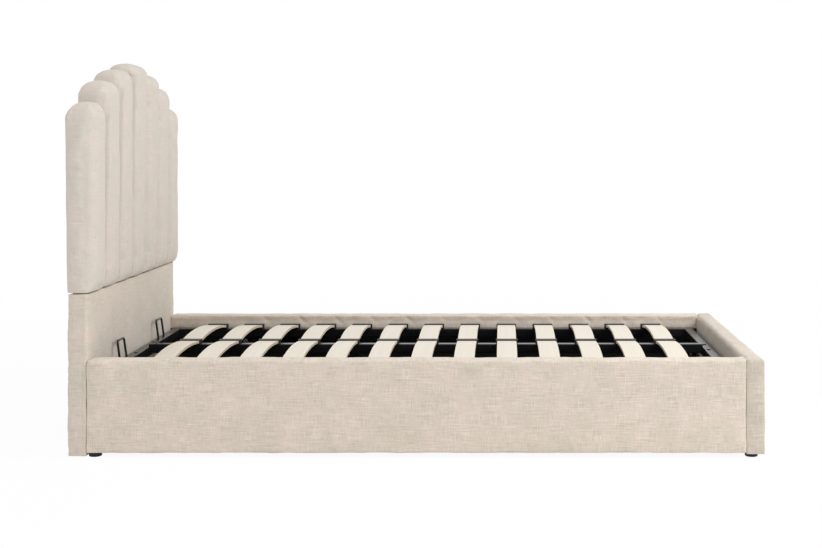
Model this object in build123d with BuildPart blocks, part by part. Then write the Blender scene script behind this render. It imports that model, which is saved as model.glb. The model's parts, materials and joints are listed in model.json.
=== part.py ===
import os
from math import atan2, cos, degrees, hypot, sin, sqrt

from build123d import *

os.makedirs("parts", exist_ok=True)

# An upholstered ottoman storage bed whose slatted lid lifts at the foot end.
# All sizes are millimetres. +Z is up, +Y is the headboard end, and the origin is on the
# floor under the middle of the bed. "Reach" is a distance from the headboard's front face
# towards the foot. "Depth" is a distance inwards from a side rail's inner face.

# The whole bed
bed_width = 1000
inner_length = 1945
panel_thickness = 55
rail_top = 291
rail_bottom = 13
footboard_bottom = 9
edge_round = 9
rail_nose_round = 15
joint_gap = 0.3
fit_gap = 0.1
running_gap = 0.05
overrun = 5

# Upholstered panels: a board inside a padded cover
panel_board = 22
panel_end_padding = 10
panel_top_padding = 12

# Headboard
headboard_thickness = 57
headboard_bottom = 3
headboard_corner_round = 10
headboard_bottom_round = 8
headboard_board = 30
headboard_side_padding = 14
pad_bottom = 482
channel_count = 7
centre_channel_top = 1194
channel_steps = (28, 42, 70)
channel_crown = 20
channel_groove = 11
channel_corner = 26
channel_outer_corner = 28
channel_back_crown = 8
channel_back_groove = 3
channel_cap_rise = 48
channel_cap_power = 2.4
channel_shoulder_share = 0.54
channel_shoulder_power = 3
channel_overhang = 10
channel_overhang_rise = 16
outer_shoulder_rise = 65
outer_side_inset = 5
channel_top_padding = 80
channel_foot_rise = 67
channel_foot_crown = 4
channel_foot_groove = 1
channel_foot_back_crown = 1.5

# Feet
foot_radius = 19
centre_foot_radius = 25
foot_edge_round = 1.5

# Storage floor
ledge_size = 20
ledge_bottom = 15
ledge_end_gap = 5
beam_width = 60
floor_board_thickness = 5
floor_board_count = 3
floor_board_gap = 1
lining_board = 2
lining_top = 240

# Corner brackets, bolts and screws
bracket_leg = 50
bracket_steel = 3
bracket_bottom = 60
bracket_height = 130
bolt_radius = 4
bolt_head_radius = 7
bolt_head = 3.5
bolt_length = 34
bolt_rows = 2
screw_radius = 2.5
screw_head_radius = 5
screw_head = 2
screw_length = 28

# Lift mechanism, as depths from the rail's inner face
plate_steel = 3
arm_steel = 4
link_gap = 2.5
bracket_gap = 1.5
pivot_radius = 5
pivot_head_radius = 9
pivot_head = 1.7
arm_half_width = 14
plate_round = 20
lid_bracket_round = 15

# Lift mechanism pivots, as reach and height with the lid closed
base_rear_pivot = (620, 175)
base_front_pivot = (700, 115)
lid_rear_pivot = (372, 228)
lid_front_pivot = (402, 194.5)
strut_base_pivot = (456, 62)
strut_lid_pivot = (286.5, 200)
open_pivot_gap = 1.9
strut_pivot_gap = 1.7

# Gas strut
strut_radius = 9
strut_wall = 1.5
rod_radius = 4
strut_pin_radius = 4
strut_shoulder_radius = 6
strut_eye_radius = 9.5
strut_eye_thickness = 9
strut_pin_head_radius = 7.5
strut_stroke = 90
strut_end_land = 8
strut_gland = 8
piston_thickness = 10
rod_showing_closed = 22

# Lid frame
tube_size = 30
tube_wall = 1.5
tube_round = 3
tube_top = 245
lid_head_gap = 20
lid_foot_gap = 23
tube_cap = 4
tube_plug = 12
cross_bar_size = 25
rest_length = 40
rest_width = 40
frame_bolt_radius = 3
frame_bolt_head_radius = 6
frame_bolt_head = 3
frame_bolt_length = 14
head_bolt_offset = 108
foot_bolt_offset = 50
centre_rail_rise = 11

# Sprung slats
slat_count = 13
slat_width = 63
slat_thickness = 8
slat_bow = 15
first_slat_reach = 186
last_slat_gap = 177.4
slat_gap = 0.25
side_holder_pocket = 16
centre_holder_pocket = 10
holder_wall = 6
holder_side_wall = 4
holder_floor = 2
side_holder_lip = 5
centre_holder_lip = 3.5
holder_round = 2

# Mattress retainer loops
loop_rod_radius = 3.5
loop_width = 76
loop_top = 309
loop_corner_round = 9
loop_base_reach = 27
loop_top_reach = 18
loop_offset = 223

# Places that follow from the sizes above
inner_half = bed_width / 2 - panel_thickness
headboard_back_depth = headboard_thickness + channel_back_crown
bed_length = headboard_back_depth + inner_length + panel_thickness
headboard_face_y = bed_length / 2 - headboard_back_depth
rail_height = rail_top - rail_bottom
rail_centre = (rail_top + rail_bottom) / 2
channel_width = bed_width / channel_count
channel_middle = channel_count // 2
board_middle_reach = -headboard_thickness / 2
rear_arm_depth = plate_steel + link_gap
front_arm_depth = rear_arm_depth + arm_steel + link_gap
lid_bracket_depth = front_arm_depth + arm_steel + bracket_gap
tube_depth = lid_bracket_depth + plate_steel
lid_half = inner_half - tube_depth
tube_bottom = tube_top - tube_size
tube_centre = tube_top - tube_size / 2
side_tube_x = lid_half - tube_size / 2
strut_depth = tube_depth + tube_size / 2
lid_head_reach = lid_head_gap
lid_foot_reach = inner_length - lid_foot_gap
side_tube_length = lid_foot_reach - lid_head_reach - 2 * tube_size
slat_pitch = (inner_length - first_slat_reach - last_slat_gap) / (slat_count - 1)
slat_reaches = [first_slat_reach + slat_pitch * i for i in range(slat_count)]
strut_length = hypot(strut_lid_pivot[0] - strut_base_pivot[0], strut_lid_pivot[1] - strut_base_pivot[1])
strut_angle = atan2(strut_lid_pivot[1] - strut_base_pivot[1], strut_lid_pivot[0] - strut_base_pivot[0])
cylinder_end = strut_length - strut_eye_radius - rod_showing_closed
floor_board_bottom = ledge_bottom + ledge_size
floor_board_top = floor_board_bottom + floor_board_thickness
sides = (("left", -1), ("right", 1))


def y_at(reach):
    """The Y of a point that lies `reach` from the headboard's front face."""
    return headboard_face_y - reach


def side_plane(side, depth):
    """An upright plane along the bed, drawn in reach and height, `depth` inside a rail's face."""
    origin = (side * (inner_half - depth), headboard_face_y, 0)
    return Plane(origin=origin, x_dir=(0, -1, 0), z_dir=(-1, 0, 0))


def save(piece, name):
    """Label a finished piece and write its file."""
    piece.part.label = name
    export_step(piece.part, f"parts/{name}.step")


def disc(side, depth, centre, radius):
    """A round outline on an upright plane along the bed."""
    with BuildSketch(side_plane(side, depth)) as outline:
        with Locations(centre):
            Circle(radius)
    return outline.sketch


def hull_plate(side, depth, discs):
    """A flat plate outline wrapped round discs given as (centre, radius)."""
    with BuildSketch(side_plane(side, depth)) as outline:
        for centre, radius in discs:
            with Locations(centre):
                Circle(radius)
        make_hull()
    return outline.sketch


def stepped_pin(side, centre, steps):
    """A turned pin across the bed: steps are (start depth, end depth, radius)."""
    with BuildPart() as pin:
        for start, end, radius in steps:
            extrude(disc(side, start, centre, radius), amount=side * (end - start))
    return pin.part


# Where the bolts and screws go: planes whose Z points into the panel that they hold
bracket_bolt_heights = [
    bracket_bottom + bracket_height * (row + 1) / (bolt_rows + 1) for row in range(bolt_rows)
]
bracket_bolt_offset = (bracket_leg + bracket_steel) / 2
bolt_planes = []
for name, side in sides:
    for height in bracket_bolt_heights:
        for reach in (bracket_bolt_offset, inner_length - bracket_bolt_offset):
            origin = (side * (inner_half - bracket_steel), y_at(reach), height)
            bolt_planes.append(Plane(origin=origin, z_dir=(side, 0, 0)))
        across = side * (inner_half - bracket_bolt_offset)
        bolt_planes.append(Plane(origin=(across, y_at(bracket_steel), height), z_dir=(0, 1, 0)))
        far = y_at(inner_length - bracket_steel)
        bolt_planes.append(Plane(origin=(across, far, height), z_dir=(0, -1, 0)))


def midpoint(*points):
    """The middle of some (reach, height) points."""
    return tuple(sum(values) / len(points) for values in zip(*points))


plate_pivots = (base_rear_pivot, base_front_pivot, strut_base_pivot)
screw_points = [
    midpoint(base_rear_pivot, strut_base_pivot),
    midpoint(base_front_pivot, strut_base_pivot),
    midpoint(base_rear_pivot, base_front_pivot),
    midpoint(*plate_pivots),
]
screw_planes = [
    Plane(origin=(side * (inner_half - plate_steel), y_at(reach), height), z_dir=(side, 0, 0))
    for name, side in sides
    for reach, height in screw_points
]

with BuildPart() as fixing_holes:
    for plane in bolt_planes:
        with BuildSketch(plane):
            Circle(bolt_radius + fit_gap)
        extrude(amount=bolt_length + fit_gap)
    for plane in screw_planes:
        with BuildSketch(plane):
            Circle(screw_radius + fit_gap)
        extrude(amount=screw_length + fit_gap)

with BuildPart() as corner_bolts:
    for plane in bolt_planes:
        with BuildSketch(plane):
            Circle(bolt_radius)
        extrude(amount=bolt_length)
        with BuildSketch(plane):
            Circle(bolt_head_radius)
        extrude(amount=-bolt_head)
save(corner_bolts, "corner_bolts")

with BuildPart() as mechanism_screws:
    for plane in screw_planes:
        with BuildSketch(plane):
            Circle(screw_radius)
        extrude(amount=screw_length)
        with BuildSketch(plane):
            Circle(screw_head_radius)
        extrude(amount=-screw_head)
save(mechanism_screws, "mechanism_screws")

# Black lining boards, let in flush with the covers' faces round the storage box
lining_height = lining_top - ledge_bottom
with BuildPart() as side_lining_boards:
    with BuildSketch(Plane.XY.offset(ledge_bottom)):
        for name, side in sides:
            with Locations((side * (inner_half + lining_board / 2), y_at(inner_length / 2))):
                Rectangle(lining_board, inner_length)
    extrude(amount=lining_height)
    add(fixing_holes.part, mode=Mode.SUBTRACT)
save(side_lining_boards, "side_lining_boards")

with BuildPart() as end_lining_boards:
    with BuildSketch(Plane.XY.offset(ledge_bottom)):
        for reach in (-lining_board / 2, inner_length + lining_board / 2):
            with Locations((0, y_at(reach))):
                Rectangle(2 * inner_half, lining_board)
    extrude(amount=lining_height)
    add(fixing_holes.part, mode=Mode.SUBTRACT)
save(end_lining_boards, "end_lining_boards")

# The room that the lining boards take in the covers
with BuildPart() as lining_room:
    with BuildSketch(Plane.XY.offset(ledge_bottom)):
        with Locations((0, y_at(inner_length / 2))):
            Rectangle(2 * (inner_half + lining_board), inner_length)
            Rectangle(2 * inner_half, inner_length + 2 * lining_board)
    extrude(amount=lining_height)

# Side rails: the board stops short of the ends and the top, and the cover is open below it
for name, side in sides:
    board_depth = -(panel_thickness + panel_board) / 2
    with BuildSketch(side_plane(side, board_depth)) as board_view:
        with Locations((inner_length / 2, rail_centre - panel_top_padding / 2)):
            Rectangle(inner_length - 2 * panel_end_padding, rail_height - panel_top_padding)

    with BuildPart() as rail_board:
        extrude(board_view.sketch, amount=side * panel_board)
        add(fixing_holes.part, mode=Mode.SUBTRACT)
    save(rail_board, f"{name}_rail_board")

    with BuildPart() as rail_cover:
        with BuildSketch(side_plane(side, -panel_thickness)):
            with Locations((inner_length / 2, rail_centre)):
                rail_view = Rectangle(inner_length, rail_height)
            fillet(rail_view.vertices().group_by(Axis.Y)[-1].sort_by(Axis.X)[0], rail_nose_round)
        extrude(amount=side * panel_thickness)
        fillet(rail_cover.edges().filter_by(Axis.Y), edge_round)
        extrude(board_view.sketch, amount=side * panel_board, mode=Mode.SUBTRACT)
        add([fixing_holes.part, lining_room.part], mode=Mode.SUBTRACT)
    save(rail_cover, f"{name}_rail_cover")

# Footboard
footboard_middle = y_at(inner_length + panel_thickness / 2)
with BuildSketch(Plane.XY.offset(footboard_bottom)) as footboard_board_plan:
    with Locations((0, footboard_middle)):
        Rectangle(bed_width - 2 * panel_end_padding, panel_board)

with BuildPart() as footboard_board:
    extrude(footboard_board_plan.sketch, amount=rail_top - panel_top_padding - footboard_bottom)
    add(fixing_holes.part, mode=Mode.SUBTRACT)
save(footboard_board, "footboard_board")

with BuildPart() as footboard_cover:
    with BuildSketch(Plane.XY.offset(footboard_bottom)) as footboard_plan:
        with Locations((0, footboard_middle)):
            Rectangle(bed_width, panel_thickness)
        fillet(footboard_plan.vertices().group_by(Axis.Y)[0], edge_round)
    extrude(amount=rail_top - footboard_bottom)
    fillet(footboard_cover.faces().sort_by(Axis.Z)[-1].edges(), edge_round)
    extrude(
        footboard_board_plan.sketch,
        amount=rail_top - panel_top_padding - footboard_bottom,
        mode=Mode.SUBTRACT,
    )
    add([fixing_holes.part, lining_room.part], mode=Mode.SUBTRACT)
save(footboard_cover, "footboard_cover")


def channel_top(index):
    """The height of one padded channel's rounded top."""
    steps_down = abs(index - channel_middle)
    return centre_channel_top - sum(channel_steps[:steps_down])


# Headboard board, with its top stepped under the padded channels
headboard_board_half = bed_width / 2 - headboard_side_padding
with BuildPart() as headboard_frame:
    with BuildSketch(Plane.XZ.offset(-y_at(board_middle_reach - headboard_board / 2))):
        for index in range(channel_count):
            low_x = max(-bed_width / 2 + index * channel_width, -headboard_board_half)
            high_x = min(-bed_width / 2 + (index + 1) * channel_width, headboard_board_half)
            top = channel_top(index) - channel_top_padding
            with Locations(((low_x + high_x) / 2, (headboard_bottom + top) / 2)):
                Rectangle(high_x - low_x, top - headboard_bottom)
    extrude(amount=headboard_board)
    add(fixing_holes.part, mode=Mode.SUBTRACT)
save(headboard_frame, "headboard_board")

# Lower headboard cover
with BuildPart() as lower_cover:
    with BuildSketch(Plane.XY.offset(headboard_bottom)):
        with Locations((0, y_at(board_middle_reach))):
            RectangleRounded(bed_width, headboard_thickness, headboard_corner_round)
    extrude(amount=pad_bottom - headboard_bottom)
    fillet(lower_cover.faces().sort_by(Axis.Z)[0].edges(), headboard_bottom_round)
    with BuildSketch(Plane.XY.offset(headboard_bottom)):
        with Locations((0, y_at(board_middle_reach))):
            Rectangle(2 * headboard_board_half, headboard_board)
    extrude(amount=pad_bottom - headboard_bottom, mode=Mode.SUBTRACT)
    add([fixing_holes.part, lining_room.part], mode=Mode.SUBTRACT)
save(lower_cover, "headboard_lower_cover")

# Padded channels: horizontal sections that round in at the foot, the top and the shoulder
foot_level_shares = (0, 0.3, 0.65, 1)
cap_level_shares = (0, 0.35, 0.6, 0.8, 0.92, 1)
shoulder_level_share = 0.5
cap_close_share = 0.985
round_middle_share = 1 - sqrt(1 / 2)


def shoulder_start(index):
    """Where a channel's free shoulder starts: the next channel's top, or a rise of its own outside."""
    steps_down = abs(index - channel_middle)
    if steps_down < len(channel_steps):
        return channel_top(index) - channel_steps[steps_down]
    return channel_top(index) - outer_shoulder_rise


def shoulder_inset(index, height):
    """How far a channel's free edge lies inside its groove line at a height."""
    start = shoulder_start(index)
    share = max(height - start, 0) / (channel_top(index) - start) * cap_close_share
    power = channel_shoulder_power
    inset = channel_width * channel_shoulder_share * (1 - (1 - share**power) ** (1 / power))
    if abs(index - channel_middle) < len(channel_steps):
        inset -= channel_overhang * min(max(height - start, 0) / channel_overhang_rise, 1)
    return inset


def channel_section(index, height):
    """One closed outline across a channel at a height."""
    top = channel_top(index)
    low_x = -bed_width / 2 + index * channel_width
    high_x = low_x + channel_width
    cap = max(height - (top - channel_cap_rise), 0) / channel_cap_rise * cap_close_share
    cap_scale = (1 - cap**channel_cap_power) ** (1 / channel_cap_power)
    foot = min((height - pad_bottom) / channel_foot_rise, 1)
    foot_scale = sqrt(1 - (1 - foot) ** 2)
    crown = channel_foot_crown + (channel_crown - channel_foot_crown) * foot_scale
    groove = channel_foot_groove + (channel_groove - channel_foot_groove) * foot_scale
    back_bulge = channel_foot_back_crown + (channel_back_crown - channel_foot_back_crown) * foot_scale
    back_crown = -headboard_thickness - back_bulge
    back_groove = -headboard_thickness - channel_back_groove * foot_scale
    outer_corner = headboard_corner_round + (channel_outer_corner - headboard_corner_round) * foot_scale
    middle = (channel_crown - headboard_back_depth) / 2

    def squeezed(reach):
        return y_at(middle + (reach - middle) * cap_scale)

    def front_corner(edge_x, inwards, outer):
        """The start, middle and end of a front corner, from the channel's edge to its crown."""
        width, drop = (outer_corner, outer_corner) if outer else (channel_corner, crown - groove)
        shares = ((0, 1), (round_middle_share, round_middle_share), (1, 0))
        return [(edge_x + inwards * width * out, squeezed(crown - drop * down)) for out, down in shares]

    inset = shoulder_inset(index, height)
    if index <= channel_middle:
        low_x += inset
    if index >= channel_middle:
        high_x -= inset
    low_inset = outer_side_inset if index == 0 else 0
    high_inset = outer_side_inset if index == channel_count - 1 else 0
    low_corner = front_corner(low_x, 1, index == 0)
    high_corner = front_corner(high_x, -1, index == channel_count - 1)
    with BuildSketch(Plane.XY.offset(height)) as section:
        with BuildLine():
            back_low = (low_x, squeezed(back_groove + low_inset))
            back_high = (high_x, squeezed(back_groove + high_inset))
            ThreePointArc(*low_corner)
            Line(low_corner[-1], high_corner[-1])
            ThreePointArc(*reversed(high_corner))
            Line(high_corner[0], back_high)
            ThreePointArc(back_high, ((low_x + high_x) / 2, squeezed(back_crown)), back_low)
            Line(back_low, low_corner[0])
        make_face()
    return section.sketch


for index in range(channel_count):
    top = channel_top(index)
    start = shoulder_start(index)
    levels = [pad_bottom + channel_foot_rise * share for share in foot_level_shares]
    levels += [top - channel_cap_rise * (1 - share) for share in cap_level_shares]
    levels += [start, start + channel_overhang_rise, start + shoulder_level_share * (top - start)]
    levels.sort()
    outer_low = headboard_side_padding if index == 0 else 0
    outer_high = headboard_side_padding if index == channel_count - 1 else 0
    low_x = -bed_width / 2 + index * channel_width + outer_low
    high_x = -bed_width / 2 + (index + 1) * channel_width - outer_high
    sections = [channel_section(index, level) for level in levels]
    with BuildPart() as channel:
        loft(sections, ruled=True)
        with BuildSketch(Plane.XY.offset(pad_bottom)):
            with Locations(((low_x + high_x) / 2, y_at(board_middle_reach))):
                Rectangle(high_x - low_x, headboard_board)
        extrude(amount=top - channel_top_padding - pad_bottom, mode=Mode.SUBTRACT)
    save(channel, f"headboard_channel_{index + 1}")

# Feet under the four corners and one under the middle of the floor beam
foot_x = bed_width / 2 - panel_thickness / 2
foot_places = (
    ("headboard", foot_radius, rail_bottom),
    ("footboard", inner_length + foot_radius, footboard_bottom),
)
for end_name, reach, height in foot_places:
    with BuildPart() as end_feet:
        with BuildSketch(Plane.XY):
            with Locations(*[(side * foot_x, y_at(reach)) for name, side in sides]):
                Circle(foot_radius)
        extrude(amount=height)
        chamfer(end_feet.edges().group_by(Axis.Z)[0], foot_edge_round)
    save(end_feet, f"{end_name}_feet")

with BuildPart() as centre_foot:
    with BuildSketch(Plane.XY):
        with Locations((0, y_at(inner_length / 2))):
            Circle(centre_foot_radius)
    extrude(amount=ledge_bottom)
    chamfer(centre_foot.edges().group_by(Axis.Z)[0], foot_edge_round)
save(centre_foot, "centre_foot")

# Storage floor: ledges on the rails, a beam down the middle and loose boards on them
for name, side in sides:
    with BuildPart() as ledge:
        with BuildSketch(Plane.XY.offset(ledge_bottom)):
            with Locations((side * (inner_half - ledge_size / 2), y_at(inner_length / 2))):
                Rectangle(ledge_size, inner_length - 2 * ledge_end_gap)
        extrude(amount=ledge_size)
    save(ledge, f"{name}_ledge")

with BuildPart() as floor_beam:
    with BuildSketch(Plane.XY.offset(ledge_bottom)):
        with Locations((0, y_at(inner_length / 2))):
            Rectangle(beam_width, inner_length)
    extrude(amount=ledge_size)
save(floor_beam, "floor_beam")

floor_board_pitch = inner_length / floor_board_count
for index in range(floor_board_count):
    with BuildPart() as floor_board:
        with BuildSketch(Plane.XY.offset(floor_board_bottom)):
            with Locations((0, y_at(floor_board_pitch * (index + 1 / 2)))):
                Rectangle(2 * inner_half - 2 * floor_board_gap, floor_board_pitch - floor_board_gap)
        extrude(amount=floor_board_thickness)
    save(floor_board, f"floor_board_{index + 1}")

# Corner brackets
with BuildPart() as corner_brackets:
    for name, side in sides:
        for corner_reach, inward in ((0, 1), (inner_length, -1)):
            with BuildSketch(Plane.XY.offset(bracket_bottom)):
                with Locations(
                    (side * (inner_half - bracket_steel / 2), y_at(corner_reach + inward * bracket_leg / 2))
                ):
                    Rectangle(bracket_steel, bracket_leg)
                with Locations(
                    (side * (inner_half - bracket_leg / 2), y_at(corner_reach + inward * bracket_steel / 2))
                ):
                    Rectangle(bracket_leg, bracket_steel)
            extrude(amount=bracket_height)
    add(fixing_holes.part, mode=Mode.SUBTRACT)
save(corner_brackets, "corner_brackets")

# Blocks that the closed lid rests on, at the corners
rest_bottom = bracket_bottom + bracket_height
with BuildPart() as lid_rests:
    with BuildSketch(Plane.XY.offset(rest_bottom)):
        for name, side in sides:
            for reach in (rest_length / 2, inner_length - rest_length / 2):
                with Locations((side * (lid_half - rest_width / 2), y_at(reach))):
                    Rectangle(rest_width, rest_length)
    extrude(amount=tube_bottom - joint_gap - rest_bottom)
save(lid_rests, "lid_rests")

# Base plates and arms of the lift mechanism, flat plates with pivot holes
for name, side in sides:
    with BuildPart() as base_plate:
        corners = [(pivot, plate_round) for pivot in plate_pivots]
        extrude(hull_plate(side, 0, corners), amount=side * plate_steel)
        for pivot, radius in (
            (base_rear_pivot, pivot_radius),
            (base_front_pivot, pivot_radius),
            (strut_base_pivot, strut_pin_radius),
        ):
            extrude(disc(side, 0, pivot, radius), amount=side * plate_steel, mode=Mode.SUBTRACT)
        add(fixing_holes.part, mode=Mode.SUBTRACT)
    save(base_plate, f"{name}_base_plate")

    arms = (
        ("rear", rear_arm_depth, base_rear_pivot, lid_rear_pivot, running_gap),
        ("front", front_arm_depth, base_front_pivot, lid_front_pivot, open_pivot_gap),
    )
    for arm_name, depth, base_pivot, lid_pivot, lid_hole_gap in arms:
        with BuildPart() as arm:
            ends = [(base_pivot, arm_half_width), (lid_pivot, arm_half_width)]
            extrude(hull_plate(side, depth, ends), amount=side * arm_steel)
            for pivot, gap in ((base_pivot, running_gap), (lid_pivot, lid_hole_gap)):
                hole = disc(side, depth, pivot, pivot_radius + gap)
                extrude(hole, amount=side * arm_steel, mode=Mode.SUBTRACT)
        save(arm, f"{name}_{arm_name}_arm")

    with BuildPart() as lid_bracket:
        pivots = (lid_rear_pivot, lid_front_pivot, strut_lid_pivot)
        corners = [(pivot, lid_bracket_round) for pivot in pivots]
        extrude(hull_plate(side, lid_bracket_depth, corners), amount=side * plate_steel)
        for pivot, radius in zip(pivots, (pivot_radius, pivot_radius, strut_pin_radius)):
            hole = disc(side, lid_bracket_depth, pivot, radius)
            extrude(hole, amount=side * plate_steel, mode=Mode.SUBTRACT)
    save(lid_bracket, f"{name}_lid_bracket")

# Pivot pins: a shank through each plate, a shoulder beside the arm and a head beyond it
rear_arm_inner = rear_arm_depth + arm_steel
front_arm_inner = front_arm_depth + arm_steel
base_rear_steps = (
    (0, plate_steel, pivot_radius),
    (plate_steel, rear_arm_depth - joint_gap, pivot_head_radius),
    (rear_arm_depth - joint_gap, rear_arm_inner + joint_gap, pivot_radius),
    (rear_arm_inner + joint_gap, rear_arm_inner + joint_gap + pivot_head, pivot_head_radius),
)
base_front_steps = (
    (0, plate_steel, pivot_radius),
    (plate_steel, front_arm_depth - joint_gap, pivot_head_radius),
    (front_arm_depth - joint_gap, front_arm_inner + joint_gap, pivot_radius),
    (front_arm_inner + joint_gap, front_arm_inner + joint_gap + pivot_head, pivot_head_radius),
)
lid_rear_steps = (
    (rear_arm_depth - joint_gap - pivot_head, rear_arm_depth - joint_gap, pivot_head_radius),
    (rear_arm_depth - joint_gap, rear_arm_inner + joint_gap, pivot_radius),
    (rear_arm_inner + joint_gap, lid_bracket_depth, pivot_head_radius),
    (lid_bracket_depth, tube_depth, pivot_radius),
)
lid_front_steps = (
    (front_arm_depth - joint_gap - pivot_head, front_arm_depth - joint_gap, pivot_head_radius),
    (front_arm_depth - joint_gap, front_arm_inner + joint_gap, pivot_radius),
    (front_arm_inner + joint_gap, lid_bracket_depth, pivot_head_radius),
    (lid_bracket_depth, tube_depth, pivot_radius),
)
with BuildPart() as base_pivot_pins:
    for name, side in sides:
        add(stepped_pin(side, base_rear_pivot, base_rear_steps))
        add(stepped_pin(side, base_front_pivot, base_front_steps))
save(base_pivot_pins, "base_pivot_pins")

with BuildPart() as lid_pivot_pins:
    for name, side in sides:
        add(stepped_pin(side, lid_rear_pivot, lid_rear_steps))
        add(stepped_pin(side, lid_front_pivot, lid_front_steps))
save(lid_pivot_pins, "lid_pivot_pins")

# Strut studs: a shoulder reaches in to the strut, and a head keeps its eye on
eye_outer = strut_depth - strut_eye_thickness / 2
eye_inner = strut_depth + strut_eye_thickness / 2


def stud_steps(plate_start):
    """The steps of a strut stud that is riveted in a plate."""
    return (
        (plate_start, plate_start + plate_steel, strut_pin_radius),
        (plate_start + plate_steel, eye_outer - joint_gap, strut_shoulder_radius),
        (eye_outer - joint_gap, eye_inner + joint_gap, strut_pin_radius),
        (eye_inner + joint_gap, eye_inner + joint_gap + pivot_head, strut_pin_head_radius),
    )


for stud_name, plate_start, pivot in (
    ("strut_base_studs", 0, strut_base_pivot),
    ("strut_lid_studs", lid_bracket_depth, strut_lid_pivot),
):
    with BuildPart() as studs:
        for name, side in sides:
            add(stepped_pin(side, pivot, stud_steps(plate_start)))
    save(studs, stud_name)


def strut_plane(side, distance):
    """A plane square to the closed strut, at a distance along it from the base pivot."""
    along = (0, -cos(strut_angle), sin(strut_angle))
    x = side * (inner_half - strut_depth)
    start = Plane(origin=(x, y_at(strut_base_pivot[0]), strut_base_pivot[1]), x_dir=(1, 0, 0), z_dir=along)
    return start.offset(distance)


# Gas struts: an eye and a bored cylinder at the base, and a rod with a piston and an eye
bore_start = strut_eye_radius + strut_end_land
piston_start = bore_start + strut_end_land
bore_radius = strut_radius - strut_wall
for name, side in sides:
    with BuildPart() as cylinder:
        extrude(disc(side, eye_outer, strut_base_pivot, strut_eye_radius), amount=side * strut_eye_thickness)
        with BuildSketch(strut_plane(side, strut_eye_radius - strut_wall)):
            Circle(strut_radius)
        extrude(amount=cylinder_end - strut_eye_radius + strut_wall)
        eye_hole = disc(side, eye_outer - overrun, strut_base_pivot, strut_pin_radius + running_gap)
        extrude(eye_hole, amount=side * (strut_eye_thickness + 2 * overrun), mode=Mode.SUBTRACT)
        with BuildSketch(strut_plane(side, bore_start)):
            Circle(bore_radius)
        extrude(amount=cylinder_end - strut_gland - bore_start, mode=Mode.SUBTRACT)
        with BuildSketch(strut_plane(side, bore_start)):
            Circle(rod_radius + running_gap)
        extrude(amount=cylinder_end - bore_start + overrun, mode=Mode.SUBTRACT)
    save(cylinder, f"{name}_strut_cylinder")

    with BuildPart() as rod:
        with BuildSketch(strut_plane(side, piston_start)):
            Circle(bore_radius - running_gap)
        extrude(amount=piston_thickness)
        with BuildSketch(strut_plane(side, piston_start)):
            Circle(rod_radius)
        extrude(amount=strut_length - strut_eye_radius + strut_wall - piston_start)
        extrude(disc(side, eye_outer, strut_lid_pivot, strut_eye_radius), amount=side * strut_eye_thickness)
        eye_hole = disc(side, eye_outer, strut_lid_pivot, strut_pin_radius + strut_pivot_gap)
        extrude(eye_hole, amount=side * strut_eye_thickness, mode=Mode.SUBTRACT)
    save(rod, f"{name}_strut_rod")
stroke_left = cylinder_end - strut_gland - piston_start - piston_thickness - strut_stroke
print("strut closed length", round(strut_length, 1), "stroke to spare", round(stroke_left, 1))


def tube_section(size):
    """The outline of a square tube's wall, drawn about its centre."""
    with BuildSketch(mode=Mode.PRIVATE) as section:
        RectangleRounded(size, size, tube_round)
        RectangleRounded(size - 2 * tube_wall, size - 2 * tube_wall, tube_round - tube_wall, mode=Mode.SUBTRACT)
    return section.sketch


# Head and foot tubes run across the lid, with a plastic cap in each end
end_tubes = (
    ("head_tube", lid_head_reach + tube_size / 2, head_bolt_offset),
    ("foot_tube", lid_foot_reach - tube_size / 2, foot_bolt_offset),
)
tube_half = lid_half - tube_cap
frame_bolt_places = [(side * offset, y_at(reach)) for name, side in sides for tube, reach, offset in end_tubes]
for name, reach, offset in end_tubes:
    with BuildPart() as end_tube:
        start = Plane(origin=(-tube_half, y_at(reach), tube_centre), x_dir=(0, 1, 0), z_dir=(1, 0, 0))
        extrude(start * tube_section(tube_size), amount=2 * tube_half)
        with BuildSketch(Plane.XY.offset(tube_top)):
            with Locations(*frame_bolt_places):
                Circle(frame_bolt_radius + fit_gap)
        extrude(amount=-tube_wall - fit_gap, mode=Mode.SUBTRACT)
    save(end_tube, name)

with BuildPart() as tube_caps:
    for name, side in sides:
        for tube, reach, offset in end_tubes:
            origin = (side * tube_half, y_at(reach), tube_centre)
            with BuildSketch(Plane(origin=origin, x_dir=(0, 1, 0), z_dir=(side, 0, 0))):
                RectangleRounded(tube_size, tube_size, tube_round)
            extrude(amount=tube_cap)
            with BuildSketch(Plane(origin=origin, x_dir=(0, 1, 0), z_dir=(side, 0, 0))):
                RectangleRounded(tube_size - 2 * tube_wall, tube_size - 2 * tube_wall, tube_round - tube_wall)
            extrude(amount=-tube_plug)
save(tube_caps, "tube_caps")

with BuildPart() as frame_bolts:
    with BuildSketch(Plane.XY.offset(tube_top)):
        with Locations(*frame_bolt_places):
            Circle(frame_bolt_head_radius)
    extrude(amount=frame_bolt_head)
    with BuildSketch(Plane.XY.offset(tube_top)):
        with Locations(*frame_bolt_places):
            Circle(frame_bolt_radius)
    extrude(amount=-frame_bolt_length)
save(frame_bolts, "frame_bolts")

# Side tubes and a higher centre rail run between them
long_tubes = (
    ("left_side_tube", -side_tube_x, tube_centre),
    ("right_side_tube", side_tube_x, tube_centre),
    ("centre_rail", 0, tube_centre + centre_rail_rise),
)
for name, x, height in long_tubes:
    with BuildPart() as long_tube:
        origin = (x, y_at(lid_head_reach + tube_size), height)
        start = Plane(origin=origin, x_dir=(1, 0, 0), z_dir=(0, -1, 0))
        extrude(start * tube_section(tube_size), amount=side_tube_length)
    save(long_tube, name)

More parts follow.
